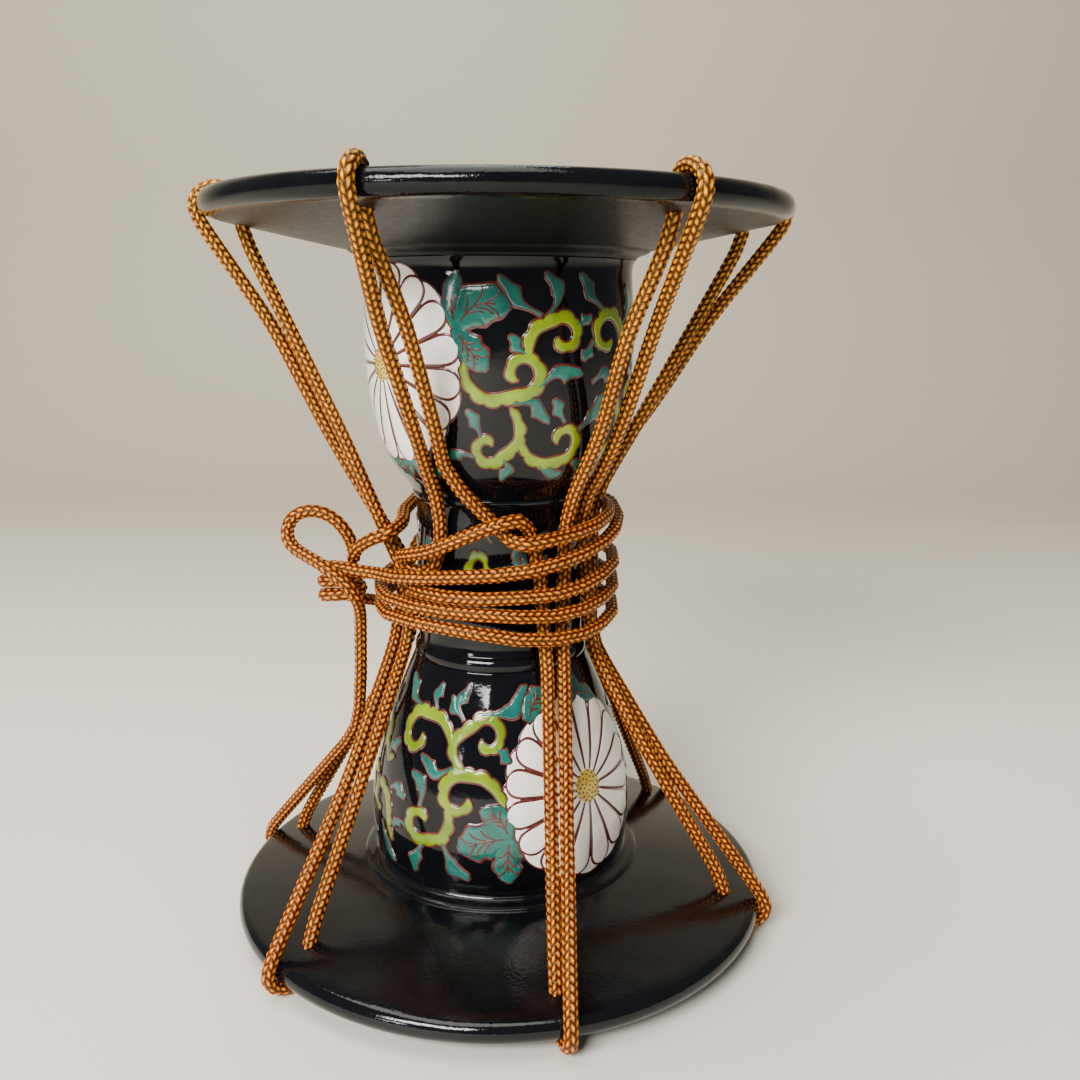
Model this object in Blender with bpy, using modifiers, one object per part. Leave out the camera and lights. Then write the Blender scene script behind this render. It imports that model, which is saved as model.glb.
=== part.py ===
"""An hourglass drum of the tsuzumi form: a black glazed body between two wide heads, laced with round cord.

Lengths are millimetres until they reach Blender. The origin is at the middle of the foot ring's plane,
+Z is up, the front is -Y, and bearings are degrees from the front, positive towards +X.
"""

import bpy
import bmesh
from math import cos, pi, radians, sin
from mathutils import Vector

MM = 0.001

# Driving dimensions
TWIN_HEIGHTS = 267.0  # a height in the lower half and its twin in the upper half add up to this
DISC_RADIUS = 99.0
RIM_THICKNESS = 8.0
RING_HEIGHT = 5.5
UPPER_RING_HEIGHT = 3.0
RING_OUTER = 69.0
RING_INNER = 61.0
SEAM = 26.0
BORE_RADIUS = 41.0
WALL = 6.0
WAIST_RADIUS = 30.0
WAIST_BOTTOM = 102.0
WAIST_TOP = 162.0
GAP = 0.3

STATIONS = 6
STATION_STEP = 360.0 / STATIONS
LOWER_FIRST = 13.5
UPPER_FIRST = -23.0
HOLE_RADIUS = 4.5
HOLE_CIRCLE = 86.5

SKIN_RADIUS = 60.4
SKIN_THICKNESS = 1.0
LEDGE = 56.0

CORD_RADIUS = 2.35
CORD_CORNER = 9.0
RIM_TURN = 6.9

KNOT = Vector((-57.5, -4.0, 0.0))
KNOT_HALF_WIDTH = 7.9
KNOT_HALF_DEPTH = 5.6
KNOT_BOTTOM = 121.0
KNOT_PITCH = 5.2

TURN_STEPS = 48
HOLE_SIDES = 12


def material(name, colour, roughness):
    """A Principled material of one colour."""
    made = bpy.data.materials.new(name)
    made.use_nodes = True
    shader = made.node_tree.nodes["Principled BSDF"]
    shader.inputs["Base Color"].default_value = (*colour, 1.0)
    shader.inputs["Roughness"].default_value = roughness
    shader.inputs["Metallic"].default_value = 0.0
    made.diffuse_color = (*colour, 1.0)
    return made


def mirrored(profile):
    """A lower profile turned over, so that it serves the upper half and still runs down its outer side."""
    return [(radius, TWIN_HEIGHTS - height) for radius, height in reversed(profile)]


def turned(name, profile, finish, collection):
    """A closed ring of revolution from an outline that runs down its outer side and up its inner side."""
    mesh = bpy.data.meshes.new(name)
    points = [(radius * MM, 0.0, height * MM) for radius, height in profile]
    edges = [(i, (i + 1) % len(points)) for i in range(len(points))]
    mesh.from_pydata(points, edges, [])
    part = bpy.data.objects.new(name, mesh)
    collection.objects.link(part)
    screw = part.modifiers.new("turn", "SCREW")
    screw.axis = "Z"
    screw.angle = 2 * pi
    screw.steps = TURN_STEPS
    screw.render_steps = TURN_STEPS
    screw.use_merge_vertices = True
    screw.merge_threshold = 0.00001
    screw.use_smooth_shade = True
    part.data.materials.append(finish)
    return part


def cylinder(name, radius, bottom, top, sides, collection):
    """An upright cylinder on the world axis."""
    mesh = bpy.data.meshes.new(name)
    shape = bmesh.new()
    bmesh.ops.create_cone(
        shape,
        cap_ends=True,
        segments=sides,
        radius1=radius * MM,
        radius2=radius * MM,
        depth=(top - bottom) * MM,
    )
    shape.to_mesh(mesh)
    shape.free()
    part = bpy.data.objects.new(name, mesh)
    part.location.z = (bottom + top) / 2 * MM
    collection.objects.link(part)
    return part


# Turned body


def arc(centre, radius, start, end, steps):
    """Points on a circular arc in the outline's plane, by angles in degrees."""
    turns = [radians(start + (end - start) * i / steps) for i in range(steps + 1)]
    return [(centre[0] + radius * cos(turn), centre[1] + radius * sin(turn)) for turn in turns]


def flange_profile(ring_height):
    """The lower head: neck, shoulder, sloping disc, rounded rim, end ring, skin ledge and flared bore."""
    half = RIM_THICKNESS / 2
    rim_centre = (DISC_RADIUS - half, RING_HEIGHT + half)
    outside = [(47.3, SEAM), (48.4, 24.7), (50.6, 23.6), (53.6, 22.6)]
    rim = arc(rim_centre, half, 80, -90, 5)
    under = [
        (RING_OUTER + 1.0, RING_HEIGHT),
        (RING_OUTER - 0.6, RING_HEIGHT - ring_height),
        (RING_INNER + 1.0, RING_HEIGHT - ring_height),
        (RING_INNER, RING_HEIGHT),
    ]
    bore = [(LEDGE, RING_HEIGHT), (49.0, 9.5), (43.0, 17.0), (BORE_RADIUS, SEAM)]
    return outside + rim + under + bore


def walled(outside, inner_radii):
    """An outline of a thrown section: its outer side down, then its inner side back up."""
    heights = [height for radius, height in outside]
    return outside + [(radius, height) for radius, height in zip(reversed(inner_radii), reversed(heights))]


def upper_bowl_profile():
    """Full shoulders that close in quickly on the waist."""
    outside = [
        (46.8, TWIN_HEIGHTS - SEAM - GAP),
        (45.8, 237.5),
        (46.5, 222.0),
        (46.3, 207.0),
        (44.8, 193.5),
        (41.6, 180.0),
        (37.4, 170.5),
        (32.6, 164.4),
        (31.2, WAIST_TOP),
    ]
    inner_radii = [BORE_RADIUS, 40.2, 40.5, 40.2, 38.5, 34.8, 30.2, 25.6, 24.0]
    return walled(outside, inner_radii)


def lower_bowl_profile():
    """A rounder foot end that tapers more slowly to the waist."""
    outside = [
        (31.6, WAIST_BOTTOM - GAP),
        (35.0, 93.5),
        (39.4, 82.5),
        (43.8, 70.0),
        (46.9, 57.0),
        (48.1, 43.5),
        (47.8, 32.0),
        (46.9, SEAM + GAP),
    ]
    inner_radii = [24.0, 28.0, 33.0, 37.6, 40.8, 42.0, 41.6, BORE_RADIUS]
    return walled(outside, inner_radii)


def waist_profile():
    """A straight tube with a raised ring at each end."""
    ring = WAIST_RADIUS + 1.3
    inner = WAIST_RADIUS - WALL
    top = WAIST_TOP - GAP
    return [
        (ring, top),
        (ring, top - 1.8),
        (WAIST_RADIUS, top - 3.2),
        (WAIST_RADIUS, WAIST_BOTTOM + 4.6),
        (ring, WAIST_BOTTOM + 3.0),
        (ring, WAIST_BOTTOM),
        (inner, WAIST_BOTTOM),
        (inner, top),
    ]


def drill(part, first_bearing, collection):
    """The lacing holes of one head, cut with one cutter for each station."""
    for i in range(STATIONS):
        bearing = first_bearing + STATION_STEP * i
        cutter = cylinder(f"{part.name}_hole_{i + 1}", HOLE_RADIUS, -20.0, 20.0, HOLE_SIDES, collection)
        cutter.location = around(HOLE_CIRCLE, bearing, 0.0) * MM
        if part.name == "upper_flange":
            cutter.location.z = TWIN_HEIGHTS * MM
        cutter.hide_render = True
        cutter.display_type = "WIRE"
        cut = part.modifiers.new(f"hole_{i + 1}", "BOOLEAN")
        cut.object = cutter
        cut.operation = "DIFFERENCE"
        cut.solver = "EXACT"


# Cords


def around(radius, bearing, height):
    """A point by its distance from the axis, its bearing and its height."""
    turn = radians(bearing)
    return Vector((radius * sin(turn), -radius * cos(turn), height))


def upper_bearing(index):
    return UPPER_FIRST + STATION_STEP * index


def lower_bearing(index):
    return LOWER_FIRST + STATION_STEP * index


def station(bearing, upper, lean=0.0, outwards=True):
    """The cord's turn at one station: through the hole, across the far face and round the rim.

    The lean turns the part at the rim away from the hole's bearing.
    """
    side = [(84.6, 21.5, 0.0), (86.3, 16.0, 0.0), (87.0, 9.5, 0.0), (87.4, 2.75, 0.0), (94.8, 2.65, 0.75)]
    rim_centre = (DISC_RADIUS - RIM_THICKNESS / 2, RING_HEIGHT + RIM_THICKNESS / 2)
    side += [(radius, depth, 1.0) for radius, depth in arc(rim_centre, RIM_TURN, -55, 30, 3)]
    turn = []
    for radius, depth, share in side:
        height = TWIN_HEIGHTS - depth if upper else depth
        turn.append(around(radius, bearing + lean * share, height))
    return turn if outwards else turn[::-1]


def waist(top, bottom, entry=162.5, leave=104.0):
    """A strand's stretch along the waist, by its bearings at the top and the bottom."""
    middle = (top + bottom) / 2
    return [
        around(36.3, top, entry),
        around(33.6, top, entry - 7.0),
        around(33.4, middle, (entry + leave) / 2),
        around(33.4, bottom, leave + 8.0),
        around(34.4, bottom, leave),
    ]


def lacing_path():
    """One cord that zigzags between the heads, from under the left lower station round to the rear waist."""
    path = station(lower_bearing(-2), upper=False)[:4][::-1]
    path += waist(-94, -101, entry=136.0)[::-1]
    path += [around(59.5, -85, 180.0), around(78.0, -84.5, 219.0)]
    path += station(upper_bearing(-1), upper=True, lean=-1.0, outwards=False)
    path += [around(55.5, -79, 182.0)]
    path += waist(-77, -84, entry=134.0)
    path += [around(58.0, -53, 67.0)]
    path += station(lower_bearing(-1), upper=False, lean=-0.7)
    path += [around(62.0, -58, 63.0)]
    path += crossing_strand()[::-1]
    path += station(upper_bearing(0), upper=True, lean=2.3)
    path += hooked_strand()
    path += station(lower_bearing(0), upper=False, lean=0.5)
    path += waist(44, 42)[::-1]
    path += [around(50.5, 42.5, 186.0), around(68.0, 36.0, 216.0)]
    path += station(upper_bearing(1), upper=True, lean=-1.9)
    path += [around(72.0, 43.0, 220.0), around(53.5, 49.5, 187.0), around(42.6, 55, 170.5)]
    path += waist(58, 76)
    path += [around(57.5, 70, 67.5)]
    path += station(lower_bearing(1), upper=False, lean=2.0)
    path += [around(62.0, 75, 64.0)]
    path += waist(90, 88)[::-1]
    path += [around(54.0, 92, 193.0)]
    path += station(upper_bearing(2), upper=True, lean=-1.0)
    path += [around(75.5, 98.5, 221.0), around(57.5, 99.5, 193.0)]
    path += waist(106, 112)
    path += station(lower_bearing(2), upper=False)
    path += waist(142, 140)[::-1]
    path += station(upper_bearing(3), upper=True)
    path += waist(166, 172)
    path += station(lower_bearing(3), upper=False, lean=1.8)
    path += waist(-164, -163)[::-1]
    path += station(upper_bearing(4), upper=True)
    path += waist(-136, -134)[:3]
    return path


def crossing_strand():
    """From the front left upper station across the waist's front, round its back and down to the left."""
    return [
        around(69.5, -21, 221.0),
        around(50.0, -21, 185.0),
        around(43.4, -24, 176.0),
        around(38.6, -17.5, 166.5),
        around(34.2, -8, 158.6),
        around(33.5, 1, 153.8),
        around(35.4, 7, 149.2),
        around(39.8, 14, 148.4),
        around(39.8, 25, 149.8),
        around(39.8, 42, 150.8),
        around(39.8, 60, 152.0),
        around(39.8, 78, 153.4),
        around(39.9, 94, 154.8),
        around(39.9, 112, 155.4),
        around(39.9, 135, 155.0),
        around(39.9, 158, 154.6),
        around(39.9, 180, 153.8),
        around(39.7, 200, 151.2),
        around(39.5, 220, 145.6),
        around(39.3, 238, 137.0),
        around(38.8, 252, 126.0),
        around(38.8, 260, 114.0),
        around(39.4, 265, 104.0),
    ]


def hooked_strand():
    """From the front left upper station, back over itself to the right, and down to the front station."""
    return [
        around(74.5, -26, 221.0),
        around(54.0, -27.5, 187.0),
        around(43.4, -32, 174.5),
        around(36.8, -34, 165.0),
        around(33.6, -35, 156.0),
        around(33.5, -35, 147.0),
        around(33.6, -38, 138.6),
        around(34.4, -47, 135.2),
        around(36.8, -62, 135.0),
        around(39.9, -61, 141.6),
        around(39.8, -48, 142.6),
        around(39.7, -36, 144.8),
        around(39.7, -26, 147.8),
        around(39.6, -16, 151.0),
        around(39.5, -6, 154.0),
        around(39.3, 4, 156.4),
        around(37.6, 12, 157.2),
        around(33.8, 18, 154.0),
        around(33.4, 22, 147.6),
        around(33.4, 25.5, 138.0),
        around(33.4, 29, 112.0),
        around(34.4, 30, 104.0),
    ]


# Each row is one bearing round the waist: the cord's distance from the axis, then its height on each turn
TURNS = (
    (-26, 39.6, 130.1, 124.9, 119.2),
    (-8, 39.6, 130.2, 125.0, 118.4),
    (12, 39.6, 130.9, 124.1, 116.0),
    (30, 39.6, 130.6, 123.1, 114.9),
    (47, 40.0, 131.8, 123.5, 114.6),
    (63, 40.8, 133.8, 125.0, 115.6),
    (80, 42.0, 135.6, 126.8, 117.4),
    (98, 42.2, 137.4, 128.6, 119.2),
    (120, 41.0, 138.8, 130.0, 120.6),
    (145, 40.0, 138.8, 130.0, 120.6),
    (172, 40.4, 136.8, 128.4, 118.6),
    (198, 43.2, 134.0, 126.0, 115.2),
    (222, 45.4, 131.0, 123.6, 111.6),
    (245, 45.4, 128.2, 121.2),
    (268, 45.4, 126.0, 119.4),
    (294, 43.8, 124.4, 118.4),
    (316, 40.8, 124.9, 119.4),
)


def turns_at_waist():
    """Three turns from under the topmost one, each below the last, that leave for the knot at the left."""
    path = [around(37.6, -57, 129.6), around(39.2, -42, 130.0)]
    for turn in range(3):
        for bearing, radius, *heights in TURNS:
            if turn < len(heights):
                path.append(around(radius, 360.0 * turn + bearing, heights[turn]))
    return path


def knot_coil(quarters):
    """A rising coil, flattened front to back, that starts at its rear and passes its left side first."""
    path = []
    for i in range(2 * quarters + 1):
        turn = pi / 4 * i
        height = KNOT_BOTTOM + KNOT_PITCH * i / 8
        path.append(KNOT + Vector((-KNOT_HALF_WIDTH * sin(turn), KNOT_HALF_DEPTH * cos(turn), height)))
    return path


def waist_cord_path():
    """The turns, the knot's coil, the topmost turn, the bow and the tail down to the left lower station."""
    path = turns_at_waist()
    path += [Vector((-47.0, 19.0, 113.0)), Vector((-51.8, 7.4, 117.6))]
    path += knot_coil(10)
    path += [
        Vector((-50.5, -12.8, 133.4)),
        around(45.6, -70, 133.4),
        around(43.2, -54, 134.2),
        around(40.8, -38, 135.8),
        around(39.6, -20, 137.4),
        around(39.6, 0, 138.6),
        around(39.6, 16, 139.6),
        around(39.6, 32, 141.4),
        around(39.8, 48, 143.2),
        around(40.6, 64, 145.0),
        around(42.2, 80, 147.8),
        around(43.6, 96, 150.8),
        around(45.2, 112, 153.6),
        around(45.2, 130, 155.6),
        around(45.0, 150, 156.8),
        around(44.8, 172, 157.2),
        around(44.6, 194, 157.2),
        around(43.4, 216, 156.2),
        around(39.6, 236, 154.4),
        Vector((-36.4, 6.0, 151.6)),
        Vector((-33.8, -7.0, 150.2)),
        Vector((-37.6, -17.4, 148.0)),
        Vector((-45.2, -15.6, 145.6)),
        Vector((-50.4, -11.0, 141.8)),
        Vector((-52.2, -8.4, 138.8)),
        Vector((-52.6, -7.5, 136.7)),
        Vector((-52.8, -5.4, 135.8)),
        Vector((-53.0, -3.3, 136.7)),
    ]
    path += bow_path()
    path += [
        Vector((-57.0, -15.3, 132.0)),
        Vector((-52.9, -15.5, 128.0)),
        Vector((-50.9, -13.7, 123.8)),
        Vector((-50.6, -9.8, 119.8)),
        Vector((-50.9, -6.0, 115.2)),
        Vector((-51.4, -4.0, 109.0)),
        Vector((-52.0, -2.0, 92.0)),
        Vector((-54.6, 2.0, 68.0)),
    ]
    path += station(lower_bearing(-2), upper=False, outwards=False)[:4]
    return path


def bow_path():
    """The single loop that stands up and out to the left, and its return across the knot's front."""
    return [
        Vector((-53.2, -2.4, 138.8)),
        Vector((-54.0, -3.5, 142.8)),
        Vector((-55.9, -4.7, 146.8)),
        Vector((-58.7, -5.0, 150.3)),
        Vector((-62.5, -5.0, 152.9)),
        Vector((-67.0, -5.0, 153.9)),
        Vector((-71.5, -5.0, 153.3)),
        Vector((-74.9, -5.0, 150.9)),
        Vector((-76.6, -5.0, 147.3)),
        Vector((-76.7, -5.2, 143.5)),
        Vector((-74.8, -6.0, 140.4)),
        Vector((-71.0, -8.0, 138.6)),
        Vector((-66.4, -11.4, 137.2)),
        Vector((-61.6, -14.2, 135.2)),
    ]


def rounded(points, corner):
    """A path's key points with each corner cut round, at most by the corner length on either side."""
    path = [points[0]]
    for before, at, after in zip(points, points[1:], points[2:]):
        into = at - before
        out = after - at
        enter = at - into.normalized() * min(corner, into.length / 2)
        leave = at + out.normalized() * min(corner, out.length / 2)
        middle = (enter + 2 * at + leave) / 4
        if into.length > 2 * corner:
            path.append(enter)
        path.append(middle)
        if out.length > 2 * corner:
            path.append(leave)
    path.append(points[-1])
    return path


def cord(name, points, finish, collection):
    """A round cord with flat ends, as a curve with a bevel."""
    curve = bpy.data.curves.new(name, "CURVE")
    curve.dimensions = "3D"
    curve.bevel_depth = CORD_RADIUS * MM
    curve.bevel_resolution = 2
    curve.render_resolution_u = 0
    curve.use_fill_caps = True
    path = rounded(points, CORD_CORNER)
    spline = curve.splines.new("POLY")
    spline.points.add(len(path) - 1)
    for control, point in zip(spline.points, path):
        control.co = (*(point * MM), 1.0)
    spline.use_smooth = True
    part = bpy.data.objects.new(name, curve)
    part.data.materials.append(finish)
    collection.objects.link(part)
    return part


def skin(name, bottom, finish, collection):
    """A flat membrane that closes one end of the bore."""
    part = cylinder(name, SKIN_RADIUS, bottom, bottom + SKIN_THICKNESS, TURN_STEPS, collection)
    part.data.materials.append(finish)
    part.data.shade_smooth()
    part.data.set_sharp_from_angle(angle=radians(40))
    return part


def main():
    for old in list(bpy.data.objects):
        bpy.data.objects.remove(old)
    parts = bpy.data.collections.new("hourglass_drum")
    cutters = bpy.data.collections.new("cutters")
    for collection in (parts, cutters):
        bpy.context.scene.collection.children.link(collection)

    glaze = material("black_glaze", (0.012, 0.013, 0.016), 0.08)
    membrane = material("drum_skin", (0.72, 0.62, 0.45), 0.55)
    braid = material("orange_cord", (0.62, 0.24, 0.03), 0.5)

    lower = turned("lower_flange", flange_profile(RING_HEIGHT), glaze, parts)
    upper = turned("upper_flange", mirrored(flange_profile(UPPER_RING_HEIGHT)), glaze, parts)
    drill(lower, LOWER_FIRST, cutters)
    drill(upper, UPPER_FIRST, cutters)
    turned("lower_bowl", lower_bowl_profile(), glaze, parts)
    turned("waist_tube", waist_profile(), glaze, parts)
    turned("upper_bowl", upper_bowl_profile(), glaze, parts)

    skin_bottom = RING_HEIGHT - GAP - SKIN_THICKNESS
    skin("lower_drumhead", skin_bottom, membrane, parts)
    skin("upper_drumhead", TWIN_HEIGHTS - skin_bottom - SKIN_THICKNESS, membrane, parts)

    cord("lacing_cord", lacing_path(), braid, parts)
    cord("waist_cord", waist_cord_path(), braid, parts)


main()
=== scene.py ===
from math import ceil, cos, pi, radians, sin

import bmesh
import bpy
import numpy as np
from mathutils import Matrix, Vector


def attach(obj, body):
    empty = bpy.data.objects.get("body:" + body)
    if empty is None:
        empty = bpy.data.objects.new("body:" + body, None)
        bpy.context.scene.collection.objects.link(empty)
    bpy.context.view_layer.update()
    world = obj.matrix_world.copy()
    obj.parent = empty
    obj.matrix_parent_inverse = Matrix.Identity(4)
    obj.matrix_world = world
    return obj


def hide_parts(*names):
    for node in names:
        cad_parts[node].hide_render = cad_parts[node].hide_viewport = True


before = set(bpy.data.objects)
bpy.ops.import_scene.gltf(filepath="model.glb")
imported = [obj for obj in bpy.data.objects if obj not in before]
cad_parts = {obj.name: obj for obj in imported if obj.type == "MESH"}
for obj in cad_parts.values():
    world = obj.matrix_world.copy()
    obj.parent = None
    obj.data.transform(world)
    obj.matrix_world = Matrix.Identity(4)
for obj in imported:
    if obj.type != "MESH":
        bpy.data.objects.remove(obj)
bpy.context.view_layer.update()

MM = 0.001

# Driving dimensions of the drum, in millimetres, as the CAD states them
# A height in the lower half and its twin in the upper half add up to this
TWIN_HEIGHTS = 267.0
DISC_RADIUS = 99.0
RIM_THICKNESS = 8.0
RING_HEIGHT = 5.5
UPPER_RING_HEIGHT = 3.0
SEAM = 26.0
BORE_RADIUS = 41.0
WAIST_RADIUS = 30.0
WAIST_BOTTOM = 102.0
WAIST_TOP = 162.0
CREASE = 0.06
HOLES = 6
STATION_STEP = 60.0
LOWER_FIRST = 13.5
UPPER_FIRST = -23.0
HOLE_RADIUS = 4.5
HOLE_CIRCLE = 86.5
SKIN_RADIUS = 60.4
CORD_CORNER = 9.0
RIM_TURN = 6.9

TURN_SIDES = 192


# Materials


def tree(name):
    """A Principled material, its shader, its node maker and its linker."""
    made = bpy.data.materials.new(name)
    made.use_nodes = True
    nodes = made.node_tree.nodes
    shader = nodes["Principled BSDF"]

    def node(kind, **values):
        new = nodes.new(kind)
        for key, value in values.items():
            if key in new.inputs:
                new.inputs[key].default_value = value
            else:
                setattr(new, key, value)
        return new

    return made, shader, node, made.node_tree.links.new


def ramp(node, link, source, stops):
    """A colour ramp fed by a value; stops are (place, colour)."""
    made = node("ShaderNodeValToRGB")
    bar = made.color_ramp
    while len(bar.elements) < len(stops):
        bar.elements.new(0.5)
    for element, (place, colour) in zip(bar.elements, stops):
        element.position = place
        element.color = (*colour, 1.0)
    link(source, made.inputs["Fac"])
    return made.outputs["Color"]


def span(node, link, source, low, high, start=0.0, end=1.0):
    """A value that runs from start to end, spread over the range from low to high."""
    made = node("ShaderNodeMapRange")
    for key, value in (("From Min", start), ("From Max", end), ("To Min", low), ("To Max", high)):
        made.inputs[key].default_value = value
    link(source, made.inputs["Value"])
    return made.outputs["Result"]


def place(node, link, axis):
    """One coordinate in the object's own metres."""
    apart = node("ShaderNodeSeparateXYZ")
    link(node("ShaderNodeTexCoord").outputs["Object"], apart.inputs["Vector"])
    return apart.outputs[axis]


def noise(node, link, scale, detail=3.0, stretch=None):
    """Noise in the object's own metres, so its scale is per metre."""
    where = node("ShaderNodeTexCoord").outputs["Object"]
    if stretch:
        mapping = node("ShaderNodeMapping")
        mapping.inputs["Scale"].default_value = stretch
        link(where, mapping.inputs["Vector"])
        where = mapping.outputs["Vector"]
    made = node("ShaderNodeTexNoise", Scale=scale, Detail=detail)
    link(where, made.inputs["Vector"])
    return made.outputs["Fac"]


def bump(node, link, shader, source, distance, strength=1.0):
    made = node("ShaderNodeBump", Strength=strength, Distance=distance)
    link(source, made.inputs["Height"])
    link(made.outputs["Normal"], shader.inputs["Normal"])
    return made


def glaze_material(name, roughness, index, grain, grain_depth, rim_roughness=None):
    """Deep black glaze: a long-wave ripple from throwing, and a finer orange peel that breaks up reflections.

    A disc's rim can have its own roughness.
    """
    made, shader, node, link = tree(name)
    tone = noise(node, link, 90.0, 4.0)
    stops = [(0.3, (0.0018, 0.0021, 0.0028)), (0.7, (0.0034, 0.0038, 0.0048))]
    link(ramp(node, link, tone, stops), shader.inputs["Base Color"])
    gloss = span(node, link, noise(node, link, 420.0, 5.0), roughness * 0.75, roughness * 1.3)
    if rim_roughness:
        flat = node("ShaderNodeMapping")
        flat.inputs["Scale"].default_value = (1.0, 1.0, 0.0)
        link(node("ShaderNodeTexCoord").outputs["Object"], flat.inputs["Vector"])
        out = node("ShaderNodeVectorMath", operation="LENGTH")
        link(flat.outputs["Vector"], out.inputs[0])
        blend = node("ShaderNodeMix", data_type="FLOAT")
        inside, outside = (DISC_RADIUS - 5.0) * MM, (DISC_RADIUS - 3.6) * MM
        link(span(node, link, out.outputs["Value"], 0.0, 1.0, inside, outside), blend.inputs[0])
        link(gloss, blend.inputs[2])
        blend.inputs[3].default_value = rim_roughness
        gloss = blend.outputs[0]
    link(gloss, shader.inputs["Roughness"])
    shader.inputs["IOR"].default_value = index
    ripple = bump(node, link, shader, noise(node, link, 26.0, 2.0, (1.0, 1.0, 1.7)), 0.0008)
    peel = bump(node, link, shader, noise(node, link, grain, 3.0), grain_depth)
    link(ripple.outputs["Normal"], peel.inputs["Normal"])
    return made


def enamel_material(name, dark, light, roughness, grain, depth):
    """Thick overglaze enamel: mottled colour, brush marks along its relief, and a soft gloss."""
    made, shader, node, link = tree(name)
    mottle = noise(node, link, grain, 6.0)
    link(ramp(node, link, mottle, [(0.32, dark), (0.66, light)]), shader.inputs["Base Color"])
    gloss = span(node, link, noise(node, link, 500.0, 4.0), roughness * 0.7, roughness * 1.5)
    link(gloss, shader.inputs["Roughness"])
    shader.inputs["Coat Weight"].default_value = 0.4
    shader.inputs["Coat Roughness"].default_value = 0.08
    bump(node, link, shader, noise(node, link, 380.0, 5.0), depth)
    return made


FIBRES = 5  # fine lines across each stitch


def cord_material():
    """Silk braid: its own orange, with a painted highlight of bright gold on the crests, painted shade of
    brown in the crevices, painted light that makes it yellower high up, and fine fibre.
    """
    made, shader, node, link = tree("orange_cord_visual")
    crest, tint, strand = (
        node("ShaderNodeAttribute", attribute_name=key).outputs["Fac"] for key in ("crest", "tint", "strand")
    )
    # The stops run from painted shade in the crevices, through the cord's own orange, to a painted highlight
    # on the crests.
    stops = [
        (0.0, (0.012, 0.0015, 0.0001)),
        (0.3, (0.12, 0.017, 0.0001)),
        (0.6, (0.4, 0.078, 0.0002)),
        (0.82, (0.84, 0.24, 0.0006)),
        (1.0, (1.0, 0.46, 0.006)),
    ]
    shade = node("ShaderNodeHueSaturation")
    link(ramp(node, link, crest, stops), shade.inputs["Color"])
    link(span(node, link, tint, 0.8, 1.15), shade.inputs["Value"])
    hue = node("ShaderNodeMath", operation="ADD")
    # Painted light: the hue turns yellower higher up, where the cord is more brightly lit; a random drift is
    # added to it.
    link(span(node, link, place(node, link, "Z"), 0.0, 0.02, 0.15, 0.27), hue.inputs[0])
    link(span(node, link, noise(node, link, 30.0, 3.0), 0.49, 0.512), hue.inputs[1])
    link(hue.outputs[0], shade.inputs["Hue"])
    link(shade.outputs["Color"], shader.inputs["Base Color"])
    shader.inputs["Roughness"].default_value = 0.26
    shader.inputs["Specular IOR Level"].default_value = 0.6
    shader.inputs["Specular Tint"].default_value = (1.0, 0.72, 0.3, 1.0)
    wave = node("ShaderNodeMath", operation="MULTIPLY")
    wave.inputs[1].default_value = 2 * pi * FIBRES
    link(strand, wave.inputs[0])
    fibre = node("ShaderNodeMath", operation="SINE")
    link(wave.outputs[0], fibre.inputs[0])
    blend = node("ShaderNodeMath", operation="MULTIPLY_ADD")
    link(fibre.outputs[0], blend.inputs[0])
    blend.inputs[1].default_value = 0.3
    link(noise(node, link, 2600.0, 3.0), blend.inputs[2])
    bump(node, link, shader, blend.outputs[0], 0.00007)
    return made


def skin_material():
    """Parchment: cream with cloudy patches, faint veins and a dry surface."""
    made, shader, node, link = tree("drum_skin_visual")
    stops = [(0.3, (0.56, 0.45, 0.29)), (0.7, (0.76, 0.67, 0.50))]
    link(ramp(node, link, noise(node, link, 38.0, 7.0), stops), shader.inputs["Base Color"])
    link(span(node, link, noise(node, link, 160.0, 4.0), 0.42, 0.66), shader.inputs["Roughness"])
    shader.inputs["Subsurface Weight"].default_value = 0.08
    shader.inputs["Subsurface Radius"].default_value = (0.002, 0.001, 0.0006)
    bump(node, link, shader, noise(node, link, 900.0, 6.0), 0.00012)
    return made


# Meshes


class Shape:
    """Grids of points gathered into one mesh."""

    def __init__(self):
        self.points = []
        self.faces = []
        self.count = 0

    def grid(self, rows, closed_along=False, closed_round=False):
        """A sheet of quads over rows of points, each row of the same length."""
        rows = np.asarray(rows, float)
        n, m = rows.shape[:2]
        index = np.arange(n * m).reshape(n, m) + self.count
        if closed_along:
            index = np.vstack([index, index[:1]])
        if closed_round:
            index = np.hstack([index, index[:, :1]])
        quads = np.stack([index[:-1, :-1], index[:-1, 1:], index[1:, 1:], index[1:, :-1]], axis=-1)
        self.points.append(rows.reshape(-1, 3))
        self.faces.append(quads.reshape(-1, 4))
        self.count += n * m

    def build(self, name, material, slot, node=None, values=None):
        """The mesh as a shown piece that rides on the drum."""
        points = np.vstack(self.points) * MM
        faces = np.vstack(self.faces)
        mesh = bpy.data.meshes.new(name)
        mesh.vertices.add(len(points))
        mesh.vertices.foreach_set("co", points.astype(np.float32).ravel())
        mesh.loops.add(faces.size)
        mesh.loops.foreach_set("vertex_index", faces.astype(np.int32).ravel())
        mesh.polygons.add(len(faces))
        mesh.polygons.foreach_set("loop_start", np.arange(0, faces.size, 4, dtype=np.int32))
        mesh.polygons.foreach_set("loop_total", np.full(len(faces), 4, dtype=np.int32))
        mesh.update(calc_edges=True)
        mesh.validate()
        mesh.shade_smooth()
        for key, data in (values or {}).items():
            layer = mesh.attributes.new(key, "FLOAT", "POINT")
            layer.data.foreach_set("value", data.astype(np.float32).ravel())
        piece = bpy.data.objects.new(name, mesh)
        bpy.context.scene.collection.objects.link(piece)
        mesh.materials.append(material)
        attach(piece, "root")
        if node:
            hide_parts(node)
        return piece


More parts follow.
